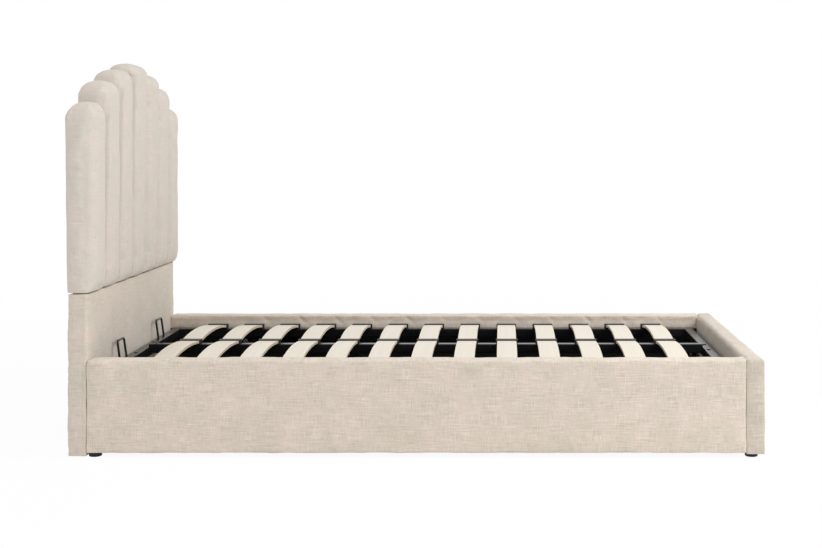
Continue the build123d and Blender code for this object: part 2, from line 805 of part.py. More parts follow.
cross_bar_length = side_tube_x - tube_size
with BuildPart() as cross_bars:
    for name, side in sides:
        start = Plane(
            origin=(side * tube_size / 2, y_at(slat_reaches[slat_count // 2]), tube_top - cross_bar_size / 2),
            x_dir=(0, 1, 0),
            z_dir=(side, 0, 0),
        )
        extrude(start * tube_section(cross_bar_size), amount=cross_bar_length)
save(cross_bars, "cross_bars")

# Sprung slats: each row's slats bow up between the centre rail and a side tube
centre_rail_top = tube_top + centre_rail_rise
slat_inner_low = centre_rail_top + holder_floor
slat_outer_low = tube_top + holder_floor
slat_crest_low = (slat_inner_low + slat_outer_low) / 2 + slat_bow
slat_inner_x = holder_wall
slat_outer_x = lid_half - holder_wall
slat_middle_x = (slat_inner_x + slat_outer_x) / 2


def slat_band(side, reach, width, grow):
    """The side outline of a bowed slat, made larger all round by grow, on an upright plane."""
    places = (
        (side * (slat_inner_x - grow), slat_inner_low),
        (side * slat_middle_x, slat_crest_low),
        (side * (slat_outer_x + grow), slat_outer_low),
    )
    bottom = [(x, low - grow) for x, low in places]
    top = [(x, low + slat_thickness + grow) for x, low in places]
    with BuildSketch(Plane.XZ.offset(-y_at(reach - width / 2))) as band:
        with BuildLine():
            ThreePointArc(*top)
            Line(top[-1], bottom[-1])
            ThreePointArc(*reversed(bottom))
            Line(bottom[0], top[0])
        make_face()
    return band.sketch


for name, side in sides:
    with BuildPart() as slats:
        for reach in slat_reaches:
            extrude(slat_band(side, reach, slat_width, 0), amount=slat_width)
    save(slats, f"{name}_slats")

# Slat holders: single ones on the side tubes and double ones on the centre rail
holder_width = slat_width + 2 * (slat_gap + holder_side_wall)
pocket_width = slat_width + 2 * slat_gap
side_holder_length = side_holder_pocket + holder_wall
centre_holder_length = 2 * (centre_holder_pocket + holder_wall)
side_holder_places = [
    (side * (lid_half - side_holder_length / 2), y_at(reach)) for name, side in sides for reach in slat_reaches
]
with BuildPart() as side_slat_holders:
    with BuildSketch(Plane.XY.offset(tube_top)):
        with Locations(*side_holder_places):
            RectangleRounded(side_holder_length, holder_width, holder_round)
    extrude(amount=holder_floor + slat_thickness + side_holder_lip)
    for name, side in sides:
        for reach in slat_reaches:
            extrude(slat_band(side, reach, pocket_width, slat_gap), amount=pocket_width, mode=Mode.SUBTRACT)
save(side_slat_holders, "side_slat_holders")

with BuildPart() as centre_slat_holders:
    with BuildSketch(Plane.XY.offset(centre_rail_top)):
        with Locations(*[(0, y_at(reach)) for reach in slat_reaches]):
            RectangleRounded(centre_holder_length, holder_width, holder_round)
    extrude(amount=holder_floor + slat_thickness + centre_holder_lip)
    for name, side in sides:
        for reach in slat_reaches:
            extrude(slat_band(side, reach, pocket_width, slat_gap), amount=pocket_width, mode=Mode.SUBTRACT)
save(centre_slat_holders, "centre_slat_holders")

# Retainer loops: bent rods welded on the head tube, leaning towards the headboard
lean = atan2(loop_base_reach - loop_top_reach, loop_top - tube_top)
loop_half = loop_width / 2 - loop_rod_radius
for name, side in sides:
    origin = (side * loop_offset, y_at(loop_base_reach), tube_top)
    loop_plane = Plane(origin=origin, x_dir=(1, 0, 0), z_dir=(0, -cos(lean), sin(lean)))
    loop_rise = (loop_top - loop_rod_radius - tube_top) / cos(lean)
    with BuildPart() as loop:
        with BuildLine(loop_plane) as loop_path:
            FilletPolyline(
                (-loop_half, -overrun),
                (-loop_half, loop_rise),
                (loop_half, loop_rise),
                (loop_half, -overrun),
                radius=loop_corner_round,
            )
        with BuildSketch(Plane(origin=loop_path.line @ 0, z_dir=loop_path.line % 0)):
            Circle(loop_rod_radius)
        sweep()
        split(bisect_by=Plane.XY.offset(tube_top), keep=Keep.TOP)
    save(loop, f"{name}_retainer_loop")

print("bed", bed_width, round(bed_length, 1), channel_top(channel_middle))
print("strut angle", round(degrees(strut_angle), 3), "floor board top", floor_board_top)
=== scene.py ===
import json
import math

import bpy
import numpy as np
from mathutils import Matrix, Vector
from mathutils.bvhtree import BVHTree


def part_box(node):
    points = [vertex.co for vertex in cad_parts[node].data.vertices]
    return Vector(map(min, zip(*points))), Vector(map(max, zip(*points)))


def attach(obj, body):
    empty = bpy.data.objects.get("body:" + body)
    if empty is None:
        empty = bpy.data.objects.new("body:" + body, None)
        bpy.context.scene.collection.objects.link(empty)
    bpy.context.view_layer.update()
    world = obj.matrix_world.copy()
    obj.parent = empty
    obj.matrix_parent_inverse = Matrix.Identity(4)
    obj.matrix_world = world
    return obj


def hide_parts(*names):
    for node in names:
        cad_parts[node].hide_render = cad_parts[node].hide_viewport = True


# The looks of an upholstered ottoman bed, in metres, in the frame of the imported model:
# +Z is up, +Y is the headboard end, and the near side of the photograph is -X.
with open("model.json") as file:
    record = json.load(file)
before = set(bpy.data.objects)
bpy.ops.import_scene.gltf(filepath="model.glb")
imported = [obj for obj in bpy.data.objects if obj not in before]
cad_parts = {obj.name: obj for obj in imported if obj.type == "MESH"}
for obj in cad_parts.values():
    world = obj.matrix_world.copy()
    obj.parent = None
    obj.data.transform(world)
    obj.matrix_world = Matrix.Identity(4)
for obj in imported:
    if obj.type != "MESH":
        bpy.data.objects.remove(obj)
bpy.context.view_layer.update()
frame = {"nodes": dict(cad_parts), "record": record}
nodes = frame["nodes"]
scene = bpy.context.scene

# Places read from the frame; reaches are measured forwards from the panel's face at face_y
lower_low, lower_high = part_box("headboard_lower_cover")
rail_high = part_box("left_rail_cover")[1]
foot_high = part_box("footboard_cover")[1]
channel_count = 7
channel_boxes = [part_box(f"headboard_channel_{index + 1}") for index in range(channel_count)]
bed_half = lower_high.x
face_y = lower_low.y
back_y = lower_high.y
pad_bottom = lower_high.z
channel_width = 2 * bed_half / channel_count
lining_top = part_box("side_lining_boards")[1].z

# Panels: radii of their edges, grid, how far the cloth may swell, how close to a box's side
# it is held, and where the inner faces lie at the lining boards
crisp_edge = 0.0015
top_round = 0.009
inner_rail_round = 0.006
inner_top_round = 0.017
nose_round = 0.016
end_round = 0.009
hem_round = 0.004
panel_start_inset = 0.001
panel_swell = 0.0025
edge_reach = 0.018
grid_step = 0.010
round_steps = 4
held_margin = 0.004
lining_depth = 0.003
lining_cover = 0.0008

# Channels: they start a little small, because the cloth swells them
channel_start_inset = 0.002
channel_swell = 0.0045
side_overlap = 0.003
channel_voxel = 0.005
ring_points = 41
foot_rings = 7
cap_rings = 12
side_points = 9
# front: crown, grooves, and a free shoulder's front edge above its lower neighbour
crown_extra = 0.002
front_power = 3.0
groove_reach = -0.018
groove_fall = 0.016
groove_fall_power = 1.2
free_reach = 0.016
free_rise = 0.040
outer_corner_round = 0.026
# back: its reach at the foot, at the top and on the crest, leaning up to a height
back_low_reach = 0.0625
back_high_reach = 0.0690
back_cap_reach = 0.0587
back_lean_top = 0.95
outer_back_round = 0.014
# rounded top and foot
top_drop = 0.004
cap_rise = 0.047
cap_power = 2.25
cap_close = 0.985
foot_rise = 0.060
foot_start_share = 0.25
# shoulders: they bulge over a lower neighbour's top, then round off inwards
shoulder_bulge = 0.018
shoulder_bulge_rise = 0.018
shoulder_bulge_start = 0.024
shoulder_inset = 0.077
shoulder_power = 3.3
neighbour_front = 0.016
outer_shoulder_rise = 0.078

# Fabric: its uneven swells, and the painted shade beside the channels' grooves
ruffle_height = 0.0006
ruffle_length = 0.09
groove_shade = 0.27
groove_shade_core = 0.005
groove_shade_reach = 0.016
groove_shadow_colour = (0.28, 0.23, 0.19)
groove_top_fade = (-0.015, -0.045)
groove_turn_fade = (-0.2, -0.6)

# Tucks where the slats press on the rails' padding, and rows of stitches
slat_count = 13
slat_width = 0.063
slat_bow = 0.015
slat_end_rise = 0.011
tuck_depth = 0.003
tuck_height = 0.268
tuck_spread = 0.009
tuck_band = 0.35
tuck_strengths = (0.35, 1.2)
tuck_rise = 0.004
tuck_tallness = 1.6
tuck_creases = ((-0.6, 0.9), (0.55, -0.7))  # place along the slat's width, and slope
stitch_length = 0.006
stitch_gap = 0.003
stitch_radius = 0.0006
stitch_sides = 6
stitch_rows = ((-0.5, 0.3), (-0.35, 1.0), (0.35, 1.0), (0.5, 0.3))  # place and thickness
stitch_probe = 0.05
stitch_from_corner = 0.010
stitch_under_seam = 0.009
stitch_hem = 0.03
stitch_row_gap = 0.012
stitch_edge_gap = 0.006
stitch_rail_gap = 0.02
stitch_front_gap = 0.01

# Cloth
cloth_pressure = 4
cloth_frames = 20
cloth_slack = -0.012
cloth_mass = 0.3
cloth_stiffness = 15

# Camera of the photograph, from its vanishing point and the bed's real size
image_width, image_height = 822, 548
vanishing_x, vanishing_y = 502, 137
focal_pixels = 1274
camera_distance = 3.752
camera_height = 0.945
camera_y = -0.2572
sensor_width = 36

# Studio: the floor turns from pale to white between two distances from the bed's middle
sky_strength = 0.55
floor_half = 60
floor_tone = 0.93
floor_pale_within, floor_white_from = 1.2, 4.0
floor_least_white = 0.94


def new_object(name, mesh):
    """An object in the scene that holds a mesh."""
    made = bpy.data.objects.new(name, mesh)
    scene.collection.objects.link(made)
    return made


def mesh_of(name, points, faces):
    """A mesh with smooth faces."""
    mesh = bpy.data.meshes.new(name)
    mesh.from_pydata([tuple(point) for point in points], [], faces)
    mesh.validate()
    mesh.shade_smooth()
    return mesh


def read_points(mesh):
    """A mesh's points as an array."""
    points = np.empty(3 * len(mesh.vertices), np.float32)
    mesh.vertices.foreach_get("co", points)
    return points.reshape(-1, 3).astype(float)


def read_normals(mesh):
    """A mesh's point normals as an array."""
    normals = np.empty(3 * len(mesh.vertices), np.float32)
    mesh.vertices.foreach_get("normal", normals)
    return normals.reshape(-1, 3).astype(float)


def write_points(mesh, points):
    """Move a mesh's points to an array's places."""
    mesh.vertices.foreach_set("co", points.astype(np.float32).ravel())
    mesh.update()


def apply_modifiers(piece):
    """Keep what the piece's modifiers show, and clear them."""
    graph = bpy.context.evaluated_depsgraph_get()
    mesh = bpy.data.meshes.new_from_object(piece.evaluated_get(graph))
    piece.modifiers.clear()
    piece.data = mesh
    mesh.shade_smooth()


def waves(points, seed, length, count=14):
    """A smooth field between about -1 and 1 that varies over `length`, the same each run."""
    draw = np.random.default_rng(seed)
    turns = draw.normal(size=(count, 3)) / length * math.pi
    phases = draw.uniform(0, 2 * math.pi, count)
    return np.sin(points @ turns.T + phases).sum(axis=1) / math.sqrt(count)


def ticks(low, high, step):
    """Grid lines along one side of a box, closer together near its two ends."""
    if high - low < 2.5 * edge_reach:
        return np.linspace(low, high, 2 * round_steps + 1)
    inner = max(int(round((high - low - 2 * edge_reach) / step)), 1)
    middle = np.linspace(low + edge_reach, high - edge_reach, inner + 1)
    close = np.linspace(0, 1, round_steps + 1)[:-1] * edge_reach
    return np.concatenate([low + close, middle, (high - close)[::-1]])


def round_edge(points, faces, radius):
    """Round one edge of a box, where two faces meet, each an axis and its place on it."""
    past = []
    for axis, place, side in faces:
        past.append(side * (points[:, axis] - place) + radius)
    in_corner = (past[0] > 0) & (past[1] > 0)
    reach, away = np.maximum(*past)[in_corner], np.hypot(*past)[in_corner]
    for (axis, place, side), distance in zip(faces, past):
        points[in_corner, axis] += side * distance[in_corner] * (reach / away - 1)


def panel_box(name, low, high, edges):
    """A closed padded box in a regular grid, with a radius for some edges and crisp others."""
    lines = [ticks(low[axis], high[axis], grid_step) for axis in range(3)]
    sizes = [len(line) for line in lines]
    index_of, points, faces = {}, [], []

    def corner(place):
        if place not in index_of:
            index_of[place] = len(points)
            points.append([lines[axis][place[axis]] for axis in range(3)])
        return index_of[place]

    for axis in range(3):
        first, second = (axis + 1) % 3, (axis + 2) % 3
        for end in (0, sizes[axis] - 1):
            for i in range(sizes[first] - 1):
                for j in range(sizes[second] - 1):
                    places = []
                    for di, dj in ((0, 0), (1, 0), (1, 1), (0, 1)):
                        place = [0, 0, 0]
                        place[axis], place[first], place[second] = end, i + di, j + dj
                        places.append(corner(tuple(place)))
                    faces.append(places if end else places[::-1])
    points = np.array(points)
    bounds = {-1: low, 1: high}
    for first, second in ((0, 1), (0, 2), (1, 2)):
        for side_a in (-1, 1):
            for side_b in (-1, 1):
                where = {"xyz"[first]: side_a, "xyz"[second]: side_b}
                radius = next((size for size, key in edges if key == where), crisp_edge)
                sides = ((first, side_a), (second, side_b))
                meeting = [(axis, bounds[side][axis], side) for axis, side in sides]
                round_edge(points, meeting, radius)
    return new_object(name, mesh_of(name, points, faces))


def channel_top(index):
    """The height at which a channel's padding starts, a little under its solid's."""
    return channel_boxes[index][1].z - top_drop


def neighbour_top(index, side):
    """The height of the next channel on one side, or nothing at the headboard's edge."""
    other = index + side
    return channel_top(other) if 0 <= other < channel_count else None


def side_of(share):
    """The side, -1 or 1, on which a share of a channel's half width lies."""
    return 1 if share > 0 else -1


def surface_fall(reach):
    """How far below its crest a channel's rounded top lies, by the reach from the panel's face."""
    middle = (neighbour_front - back_cap_reach) / 2
    share = min(abs(reach - middle) * 2 / (neighbour_front + back_cap_reach), cap_close)
    return cap_rise * (1 - (1 - share**cap_power) ** (1 / cap_power))


def edge_shift(index, side, height, reach):
    """How far a channel's edge moves outwards, where its shoulder is free of its neighbour."""
    top = channel_top(index)
    beside = neighbour_top(index, side)
    if beside is not None and beside > top:
        return 0.0
    start, bulge = top - outer_shoulder_rise, 0.0
    if beside is not None:
        start = beside - surface_fall(reach)
        rise = min(max((height - start + shoulder_bulge_start) / shoulder_bulge_rise, 0), 1)
        bulge = shoulder_bulge * math.sin(math.pi / 2 * rise)
    share = min(max((height - start) / (top - start), 0), 1) * cap_close
    return bulge - shoulder_inset * (1 - (1 - share**shoulder_power) ** (1 / shoulder_power))


def channel_ring(index, height):
    """One level outline of a padded channel, counter-clockwise from above."""
    top = channel_top(index)
    crown_reach = face_y - channel_boxes[index][0].y + crown_extra
    cap = min(max((height - (top - cap_rise)) / cap_rise, 0), 1) * cap_close
    cap_scale = (1 - cap**cap_power) ** (1 / cap_power)
    foot = min((height - pad_bottom) / foot_rise, 1)
    foot_scale = foot_start_share + (1 - foot_start_share) * math.sqrt(max(1 - (1 - foot) ** 2, 0))
    lean = min((height - pad_bottom) / (back_lean_top - pad_bottom), 1)
    back_edge = back_low_reach + (back_high_reach - back_low_reach) * lean
    back_middle = back_edge + (min(back_cap_reach, back_edge) - back_edge) * cap
    middle = (crown_reach - back_cap_reach) / 2
    centre = -bed_half + (index + 0.5) * channel_width
    outer, groove = {}, {}
    for side in (-1, 1):
        beside = neighbour_top(index, side)
        outer[side] = beside is None
        groove[side] = groove_reach - groove_fall * cap**groove_fall_power
        if beside is not None and beside < top:
            free = min(max((height - beside) / free_rise + 1, 0), 1)
            groove[side] = groove_reach + (free_reach - groove_reach) * free * free * (3 - 2 * free)

    def section(share, crown, edge, corner):
        """How far the pad reaches at a share of its half width."""
        if outer[side_of(share)]:
            inside = max(1 - (1 - abs(share)) * channel_width / 2 / corner, 0)
            return crown - corner * (1 - math.sqrt(1 - inside**2))
        return crown - (crown - edge) * (1 - (1 - abs(share) ** front_power) ** (1 / front_power))

    def place(share, reach, edge):
        """A point of the outline, moved sideways as the outline's edge at a reach is."""
        side = side_of(share)
        scaled, at_edge = (middle + (part - middle) * cap_scale for part in (reach, edge))
        overlap = 0 if outer[side] else side_overlap
        half = channel_width / 2 + overlap + edge_shift(index, side, height, at_edge)
        return (centre + share * half, face_y - scaled, height)

    shares = np.sin(np.linspace(-math.pi / 2, math.pi / 2, ring_points))
    front = []
    for share in shares:
        reach = section(share, crown_reach, groove[side_of(share)], outer_corner_round)
        front.append(reach * foot_scale)
    back = [-section(share, back_middle, back_edge, outer_back_round) for share in shares]
    edges = {-1: front[0], 1: front[-1]}
    points = [place(share, reach, edges[side_of(share)]) for share, reach in zip(shares, front)]
    down_side = np.linspace(front[-1], back[-1], side_points + 2)[1:-1]
    up_side = np.linspace(back[0], front[0], side_points + 2)[1:-1]
    points += [place(1, reach, reach) for reach in down_side]
    points += [place(share, reach, reach) for share, reach in zip(shares[::-1], back[::-1])]
    points += [place(-1, reach, reach) for reach in up_side]
    return points


def channel_pad(index):
    """A padded channel: rings from its foot to its rounded top, remeshed evenly."""
    name = f"channel_pad_{index + 1}"
    top = channel_top(index)
    foot_levels = pad_bottom + foot_rise * (1 - np.cos(np.linspace(0, math.pi / 2, foot_rings)))
    cap_levels = top - cap_rise * (1 - np.sin(np.linspace(0, math.pi / 2, cap_rings)))
    rings = [channel_ring(index, level) for level in (*foot_levels, *cap_levels)]
    count = len(rings[0])
    points = [point for ring in rings for point in ring]
    faces = []
    for row in range(len(rings) - 1):
        for i in range(count):
            here, after = row * count + i, row * count + (i + 1) % count
            faces.append((here, after, after + count, here + count))
    faces.append(tuple(reversed(range(count))))
    faces.append(tuple(range(len(points) - count, len(points))))
    piece = new_object(name, mesh_of(name, points, faces))
    remesh = piece.modifiers.new("even", "REMESH")
    remesh.mode = "VOXEL"
    remesh.voxel_size = channel_voxel
    apply_modifiers(piece)
    points = read_points(piece.data)
    write_points(piece.data, points - channel_start_inset * read_normals(piece.data))
    return piece


def cover_box(name, node, edges):
    """A padded panel cover that starts a little inside its solid."""
    low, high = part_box(node)
    inset = Vector((panel_start_inset, panel_start_inset / 4, panel_start_inset / 4))
    return panel_box(name, low + inset, high - inset, edges)


def start_cloth(piece, held):
    """Give a piece cloth under pressure, held where `held` is true."""
    group = piece.vertex_groups.new(name="held")
    group.add([int(index) for index in np.flatnonzero(held)], 1.0, "REPLACE")
    cloth = piece.modifiers.new("cloth", "CLOTH")
    settings = cloth.settings
    settings.vertex_group_mass = group.name
    settings.mass = cloth_mass
    settings.tension_stiffness = cloth_stiffness
    settings.compression_stiffness = cloth_stiffness
    settings.use_pressure = True
    settings.uniform_pressure_force = cloth_pressure
    settings.shrink_min = cloth_slack
    settings.effector_weights.gravity = 0
    cloth.collision_settings.use_collision = False
    cloth.point_cache.frame_start = 1
    cloth.point_cache.frame_end = cloth_frames


def run_cloth(caps):
    """Step the cloth of all pieces and keep it, with each point's move under the piece's cap."""
    starts = {piece: read_points(piece.data) for piece in caps}
    for number in range(1, cloth_frames + 1):
        scene.frame_set(number)
    for piece, cap in caps.items():
        apply_modifiers(piece)
        move = read_points(piece.data) - starts[piece]
        size = np.linalg.norm(move, axis=1)[:, None]
        capped = move * cap * np.tanh(size / cap) / np.maximum(size, 1e-9)
        write_points(piece.data, starts[piece] + capped)
    scene.frame_set(1)


def subdivide(piece):
    """One smooth subdivision, kept in the mesh."""
    piece.modifiers.new("smooth", "SUBSURF").levels = 1
    apply_modifiers(piece)


def settle_inner_face(piece, axis, side, face, offset):
    """Draw a pad's inner face back behind a lining board let into it, or lay it over one."""
    points = read_points(piece.data)
    depth = side * (points[:, axis] - face)
    covered = (abs(depth) < edge_reach / 3) & (points[:, 2] < lining_top)
    if axis == 1:
        covered &= abs(points[:, 0]) < -rail_high.x
    limit = np.minimum if offset < 0 else np.maximum
    points[covered, axis] = (face + side * limit(depth, offset))[covered]
    write_points(piece.data, points)


def press_tucks(piece, side):
    """Small creases in a rail's inner face, where the ends of the slats press on it."""
    points = read_points(piece.data)
    low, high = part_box("left_slats")
    face = rail_high.x if side < 0 else -rail_high.x
    inner = abs(points[:, 0] - face) < edge_reach
    pitch = (high.y - low.y - slat_width) / (slat_count - 1)
    strength = np.random.default_rng(7 + side).uniform(*tuck_strengths, 2 * slat_count)
    field = tuck_band * np.exp(-(((points[:, 2] - tuck_height) / tuck_spread) ** 2))
    for number in range(slat_count):
        place = low.y + slat_width / 2 + number * pitch
        for crease, (offset, slope) in enumerate(tuck_creases):
            along = points[:, 1] - (place + offset * slat_width)
            rise = points[:, 2] - tuck_height - tuck_rise
            across = along - slope * rise
            away = (across / tuck_spread) ** 2 + (rise / (tuck_tallness * tuck_spread)) ** 2
            field += strength[2 * number + crease] * np.exp(-away)
    points[inner, 0] += side * tuck_depth * field[inner]
    write_points(piece.data, points)


def stitch_row(name, piece, start, end, outwards):
    """A row of short raised stitches laid on a piece's surface, along a straight line."""
    graph = bpy.context.evaluated_depsgraph_get()
    surface = BVHTree.FromObject(piece, graph)
    start, end, outwards = Vector(start), Vector(end), Vector(outwards)
    along = (end - start).normalized()
    beside = along.cross(outwards)
    points, faces = [], []
    for number in range(int((end - start).length / (stitch_length + stitch_gap))):
        middle = start + along * (number + 0.5) * (stitch_length + stitch_gap)
        found = surface.ray_cast(middle + outwards * stitch_probe, -outwards, 2 * stitch_probe)[0]
        if found is None:
            continue
        first = len(points)
        for share, thick in stitch_rows:
            for turn in range(stitch_sides):
                angle = turn * 2 * math.pi / stitch_sides
                spread = beside * math.cos(angle) + outwards * math.sin(angle)
                point = found + along * share * stitch_length
                points.append(point + spread * thick * stitch_radius)
        for row in range(first, len(points) - stitch_sides, stitch_sides):
            for turn in range(stitch_sides):
                here, after = row + turn, row + (turn + 1) % stitch_sides
                faces.append((here, after, after + stitch_sides, here + stitch_sides))
        faces.append(tuple(reversed(range(first, first + stitch_sides))))
        faces.append(tuple(range(len(points) - stitch_sides, len(points))))
    row_piece = new_object(name, mesh_of(name, points, faces))
    row_piece.data.materials.append(materials["thread"])
    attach(row_piece, "root")


def ruffle(piece, seed, amount, length):
    """Small uneven swells, as in real padding under cloth."""
    points = read_points(piece.data)
    normals = read_normals(piece.data)
    field = waves(points, seed, length) + 0.5 * waves(points, seed + 1, length / 2.5)
    write_points(piece.data, points + normals * (amount * field)[:, None])


def opaque(colour):
    """A colour with full alpha, or a socket as it is."""
    return colour if isinstance(colour, bpy.types.NodeSocket) else (*colour, 1)


def lighter(colour, times):
    """A colour made lighter by a factor."""
    return tuple(part * times for part in colour)


class Surface:
    """A material's node tree, with short calls to add its nodes."""

    def __init__(self, name, values):
        self.material = bpy.data.materials.new(name)
        self.material.use_nodes = True
        self.tree = self.material.node_tree
        self.shader = self.tree.nodes["Principled BSDF"]
        self.coordinates = self.tree.nodes.new("ShaderNodeTexCoord")
        for socket, value in values.items():
            self.shader.inputs[socket].default_value = value

    def put(self, socket, value):
        """Link a socket's value to an input, or set a plain one."""
        if isinstance(value, bpy.types.NodeSocket):
            self.tree.links.new(value, socket)
        else:
            socket.default_value = value

    def node(self, kind, inputs, **settings):
        """A new node with its settings and inputs."""
        made = self.tree.nodes.new(kind)
        for key, value in settings.items():
            setattr(made, key, value)
        for key, value in inputs.items():
            self.put(made.inputs[key], value)
        return made

    def math(self, operation, first, second=0.0):
        return self.node("ShaderNodeMath", {0: first, 1: second}, operation=operation).outputs[0]

    def product(self, value, *others):
        for other in others:
            value = self.math("MULTIPLY", value, other)
        return value

    def total(self, value, *others):
        for other in others:
            value = self.math("ADD", value, other)
        return value

    def vector(self, x, y, z=0.0):
        return self.node("ShaderNodeCombineXYZ", {0: x, 1: y, 2: z}).outputs[0]

    def parts(self, vector):
        return self.node("ShaderNodeSeparateXYZ", {0: vector}).outputs

    def noise(self, vector, scale=1.0, detail=2.0):
        inputs = {"Vector": vector, "Scale": scale, "Detail": detail}
        return self.node("ShaderNodeTexNoise", inputs).outputs["Fac"]

    def choose(self, factor, first, second):
        """The number between two others, by a factor."""
        inputs = {0: factor, 2: first, 3: second}
        return self.node("ShaderNodeMix", inputs, data_type="FLOAT").outputs[0]

    def blend(self, factor, first, second, mode="MIX"):
        """The second colour laid over the first, by a factor."""
        inputs = {0: factor, 6: opaque(first), 7: opaque(second)}
        return self.node("ShaderNodeMix", inputs, data_type="RGBA", blend_type=mode).outputs[2]

    def spread(self, value, low, high):
        """A value's place between two others, from 0 to 1."""
        inputs = {"Value": value, "From Min": low, "From Max": high}
        return self.node("ShaderNodeMapRange", inputs).outputs[0]

    def bump(self, height, strength, distance):
        inputs = {"Height": height, "Strength": strength, "Distance": distance}
        bumped = self.node("ShaderNodeBump", inputs).outputs[0]
        self.put(self.shader.inputs["Normal"], bumped)

    def colour(self, value):
        self.put(self.shader.inputs["Base Color"], value)

    def flat_place(self):
        """The two coordinates that lie in the surface, whichever way it faces."""
        x, y, z = self.parts(self.coordinates.outputs["Object"])
        normal = self.coordinates.outputs["Normal"]
        across, along, up = (self.math("ABSOLUTE", part) for part in self.parts(normal))
        side = self.math("GREATER_THAN", across, self.math("MAXIMUM", along, up))
        level = self.math("GREATER_THAN", up, self.math("MAXIMUM", across, along))
        return self.choose(side, x, y), self.choose(level, z, y)


def streaks(surface, across, along, width, length, detail=2.0):
    """Noise drawn out along one direction, such as a thread or a grain line."""
    place = (surface.math("DIVIDE", across, width), surface.math("DIVIDE", along, length))
    return surface.noise(surface.vector(*place), 1.0, detail)


def shade_grooves(surface, base):
    """Linen with painted shade along the grooves, up to the lower channel's top."""
    x, _, z = surface.parts(surface.coordinates.outputs["Object"])
    facing = surface.parts(surface.coordinates.outputs["Normal"])[1]
    from_groove = surface.math("PINGPONG", surface.total(x, bed_half), channel_width / 2)
    from_middle = surface.math("ABSOLUTE", x)
    steps = range(channel_count // 2)
    grooves = [(channel_count / 2 - index - 1) * channel_width for index in steps]
    square, slope, base_level = np.polyfit(grooves, [channel_top(index) for index in steps], 2)
    rise = surface.product(surface.total(surface.product(from_middle, square), slope), from_middle)
    over = surface.math("SUBTRACT", z, surface.total(rise, base_level))
    # How much painted shade a point gets: near a groove, below the lower channel's top, on the
    # front
    share = surface.product(
        surface.spread(from_groove, groove_shade_reach, groove_shade_core),
        surface.spread(over, *groove_top_fade),
        surface.spread(facing, *groove_turn_fade),
        surface.math("LESS_THAN", from_middle, bed_half - channel_width / 2),
        groove_shade,
    )
    return surface.blend(share, base, groove_shadow_colour)


def linen_material(name, contrast, dark, light, grooves=False):
    """Oatmeal linen: fine threads, uneven slubs both ways, and soft patches of tone.

    Threads and slubs are given by their width and length in metres."""
    surface = Surface(name, {"Roughness": 0.92, "Specular IOR Level": 0.25, "Sheen Weight": 0.2})
    surface.shader.inputs["Sheen Roughness"].default_value = 0.5
    place = surface.coordinates.outputs["Object"]
    u, v = surface.flat_place()
    warp = streaks(surface, u, v, 0.0010, 0.016)
    weft = streaks(surface, v, u, 0.0010, 0.020)
    slub_up = streaks(surface, u, v, 0.0036, 0.045, 3.0)
    slub_across = streaks(surface, v, u, 0.0042, 0.065, 3.0)
    patches = surface.noise(place, 24.0, 2.0)
    mottle = surface.noise(place, 13.0, 3.0)
    threads = surface.total(warp, weft)
    slubs = surface.total(surface.product(slub_up, 0.8), slub_across)
    off_middle = surface.math("SUBTRACT", slubs, 0.9)
    uneven = surface.product(off_middle, surface.spread(patches, 0.25, 0.62))
    woven = surface.product(surface.math("SUBTRACT", threads, 1.0), 0.6)
    cloudy = surface.product(surface.math("SUBTRACT", mottle, 0.5), 0.5)
    shade = surface.total(woven, uneven, cloudy)
    base = surface.blend(surface.total(0.5, surface.product(shade, contrast)), dark, light)
    # Painted shade along the channels' grooves
    if grooves:
        base = shade_grooves(surface, base)
    cool, warm = (0.978, 1.0, 0.982), (1.0, 0.978, 0.978)
    tint = surface.blend(surface.spread(mottle, 0.36, 0.64), cool, warm)
    surface.colour(surface.blend(1.0, base, tint, "MULTIPLY"))
    surface.bump(surface.total(threads, surface.product(slubs, 0.8)), 0.55, 0.0006)
    return surface.material


def coated_metal(name, colour, roughness, metallic=0.0):
    """Powder-coated metal, or bare where `metallic` is 1, with a fine uneven skin."""
    surface = Surface(name, {"Metallic": metallic, "Base Color": opaque(colour)})
    if not metallic:
        surface.shader.inputs["Specular IOR Level"].default_value = 0.25
    place = surface.coordinates.outputs["Object"]
    skin = surface.noise(place, 900.0, 2.0)
    smears = surface.noise(place, 14.0, 3.0)
    low, high = roughness
    rough = surface.total(low, surface.product(smears, high - low))
    surface.put(surface.shader.inputs["Roughness"], rough)
    surface.colour(surface.blend(surface.spread(smears, 0.35, 0.7), colour, lighter(colour, 1.35)))
    surface.bump(skin, 0.12, 0.0002)
    return surface.material


def plastic_material(name, colour, roughness):
    """Moulded plastic or rubber with a fine spark-eroded grain."""
    values = {"Roughness": roughness, "Base Color": opaque(colour), "Specular IOR Level": 0.2}
    surface = Surface(name, values)
    place = surface.coordinates.outputs["Object"]
    grain = surface.noise(place, 1400.0, 1.0)
    tone = surface.noise(place, 30.0, 2.0)
    surface.colour(surface.blend(tone, colour, lighter(colour, 1.5)))
    surface.bump(grain, 0.25, 0.0002)
    return surface.material


